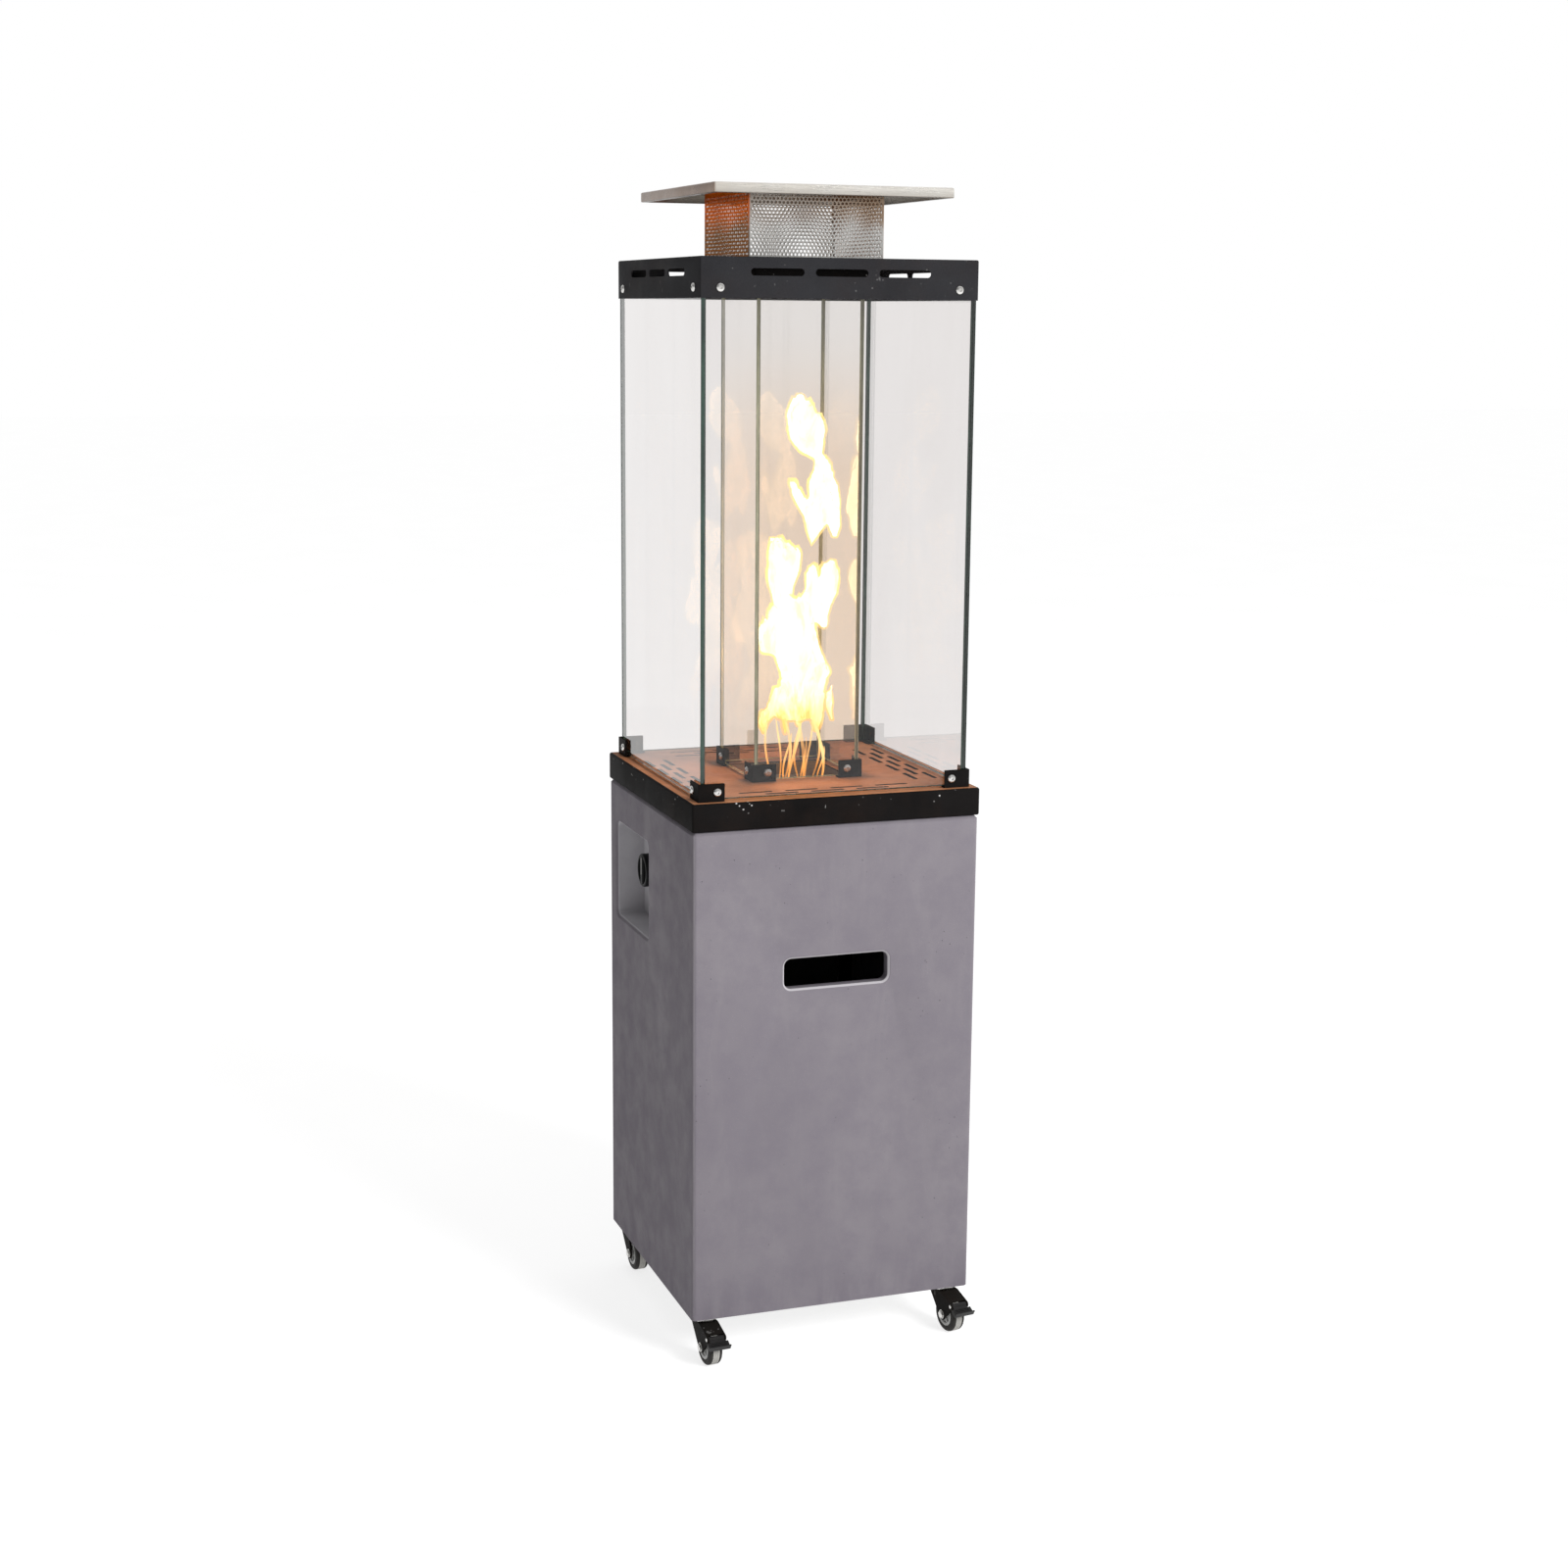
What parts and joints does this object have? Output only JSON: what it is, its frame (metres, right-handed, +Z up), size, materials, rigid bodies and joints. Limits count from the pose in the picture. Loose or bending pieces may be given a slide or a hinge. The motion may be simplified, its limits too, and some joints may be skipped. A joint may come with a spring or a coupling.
{
  "type": "outdoor gas heater",
  "caption": "Square glass-tower outdoor gas heater: flame between inner panes, cast base with a hand slot and a knob pocket, rear door, perforated flue guard under a flat cap, braked casters.",
  "frame": {"origin": "on the floor under the centre of the square base", "axes": "+Z up, -Y to the front with the hand slot, +X to the right; the knob pocket is on the -X side"},
  "size_m": [0.402, 0.4378, 1.55],
  "materials": {
    "cast_base": "matte cast mineral composite with a fine mottled, slightly pitted face",
    "zinc_sheet": "zinc plated sheet",
    "black_steel": "satin black paint on a folded steel pan, browned by heat on its plate",
    "frame_paint": "satin charcoal paint",
    "door_paint": "matte grey paint",
    "stainless_steel": "brushed",
    "screw_steel": "bright",
    "burner_steel": "heat stained",
    "brass_fitting": "turned brass",
    "ceramic": "unglazed ceramic",
    "clear_glass": "clear tempered glass",
    "knob_plastic": "satin black",
    "switch_plastic": "matte black",
    "caster_paint": "black coated pressed steel",
    "pedal_plastic": "matte black",
    "hub_plastic": "light grey moulding",
    "tread_rubber": "grey moulded tread"
  },
  "bodies": {
    "body": {"base_floor": "zinc_sheet", "base_shell": "cast_base", "burner": "burner_steel", "burner_tray": "zinc_sheet", "cap": "stainless_steel", "caster_stems": "screw_steel", "cylinder_lugs": "zinc_sheet", "door_catch": "switch_plastic", "flue_guard": "stainless_steel", "gas_manifold": "brass_fitting", "gas_valve": "brass_fitting", "hinge_leaves_fixed": "zinc_sheet", "inner_brackets": "black_steel", "inner_glass_back": "clear_glass", "inner_glass_clips": "black_steel", "inner_glass_front": "clear_glass", "inner_glass_left": "clear_glass", "inner_glass_right": "clear_glass", "outer_brackets": "black_steel", "outer_glass_back": "clear_glass", "outer_glass_front": "clear_glass", "outer_glass_left": "clear_glass", "outer_glass_right": "clear_glass", "pilot_burner": "brass_fitting", "spark_electrode": "ceramic", "thermocouple": "brass_fitting", "tilt_switch": "switch_plastic", "top_frame": "frame_paint", "top_pan": "black_steel", "valve_bracket": "zinc_sheet"},
    "valve_plunger": {"valve_plunger": "brass_fitting"},
    "knob": {"control_knob": "knob_plastic", "valve_stem": "screw_steel"},
    "door": {"rear_door": "door_paint", "hinge_leaves_door": "zinc_sheet"},
    "swivel_front_left": {"fork_front_left": "caster_paint"},
    "wheel_front_left": {"hub_front_left": "hub_plastic", "tyre_front_left": "tread_rubber"},
    "brake_front_left": {"brake_pedal_front_left": "pedal_plastic"},
    "swivel_front_right": {"fork_front_right": "caster_paint"},
    "wheel_front_right": {"hub_front_right": "hub_plastic", "tyre_front_right": "tread_rubber"},
    "brake_front_right": {"brake_pedal_front_right": "pedal_plastic"},
    "swivel_rear_left": {"fork_rear_left": "caster_paint"},
    "wheel_rear_left": {"hub_rear_left": "hub_plastic", "tyre_rear_left": "tread_rubber"},
    "swivel_rear_right": {"fork_rear_right": "caster_paint"},
    "wheel_rear_right": {"hub_rear_right": "hub_plastic", "tyre_rear_right": "tread_rubber"}
  },
  "joints": [
    {"name": "knob_push", "type": "slide", "parent": "body", "child": "valve_plunger", "axis": [1, 0, 0], "range_m": [0, 0.006], "stiffness_N_per_m": 1500, "springref_m": -0.001},
    {"name": "knob_turn", "type": "hinge", "parent": "valve_plunger", "child": "knob", "pos_m": [-0.16, 0.087, 0.62], "axis": [-1, 0, 0], "range_deg": [0, 180]},
    {"name": "door_hinge", "type": "hinge", "parent": "body", "child": "door", "pos_m": [0.156, 0.196, 0.347], "axis": [0, 0, -1], "range_deg": [0, 95]},
    {"name": "swivel_turn_front_left", "type": "hinge", "parent": "body", "child": "swivel_front_left", "pos_m": [-0.175, -0.175, 0.0545], "axis": [0, 0, 1], "continuous": true},
    {"name": "wheel_spin_front_left", "type": "hinge", "parent": "swivel_front_left", "child": "wheel_front_left", "pos_m": [-0.17367, -0.19395, 0.025], "axis": [0.9976, 0.0698, 0], "continuous": true},
    {"name": "brake_press_front_left", "type": "hinge", "parent": "swivel_front_left", "child": "brake_front_left", "pos_m": [-0.17214, -0.21593, 0.04401], "axis": [0.9976, 0.0698, 0], "range_deg": [0, 25]},
    {"name": "swivel_turn_front_right", "type": "hinge", "parent": "body", "child": "swivel_front_right", "pos_m": [0.175, -0.175, 0.0545], "axis": [0, 0, 1], "continuous": true},
    {"name": "wheel_spin_front_right", "type": "hinge", "parent": "swivel_front_right", "child": "wheel_front_right", "pos_m": [0.17764, -0.19382, 0.025], "axis": [0.9903, 0.1392, 0], "continuous": true},
    {"name": "brake_press_front_right", "type": "hinge", "parent": "swivel_front_right", "child": "brake_front_right", "pos_m": [0.18071, -0.21563, 0.04401], "axis": [0.9903, 0.1392, 0], "range_deg": [0, 25]},
    {"name": "swivel_turn_rear_left", "type": "hinge", "parent": "body", "child": "swivel_rear_left", "pos_m": [-0.175, 0.175, 0.0545], "axis": [0, 0, 1], "continuous": true},
    {"name": "wheel_spin_rear_left", "type": "hinge", "parent": "swivel_rear_left", "child": "wheel_rear_left", "pos_m": [-0.17401, 0.15603, 0.025], "axis": [0.9986, 0.0523, 0], "continuous": true},
    {"name": "swivel_turn_rear_right", "type": "hinge", "parent": "body", "child": "swivel_rear_right", "pos_m": [0.175, 0.175, 0.0545], "axis": [0, 0, 1], "continuous": true},
    {"name": "wheel_spin_rear_right", "type": "hinge", "parent": "swivel_rear_right", "child": "wheel_rear_right", "pos_m": [0.17863, 0.15635, 0.025], "axis": [0.9816, 0.1908, 0], "continuous": true}
  ]
}
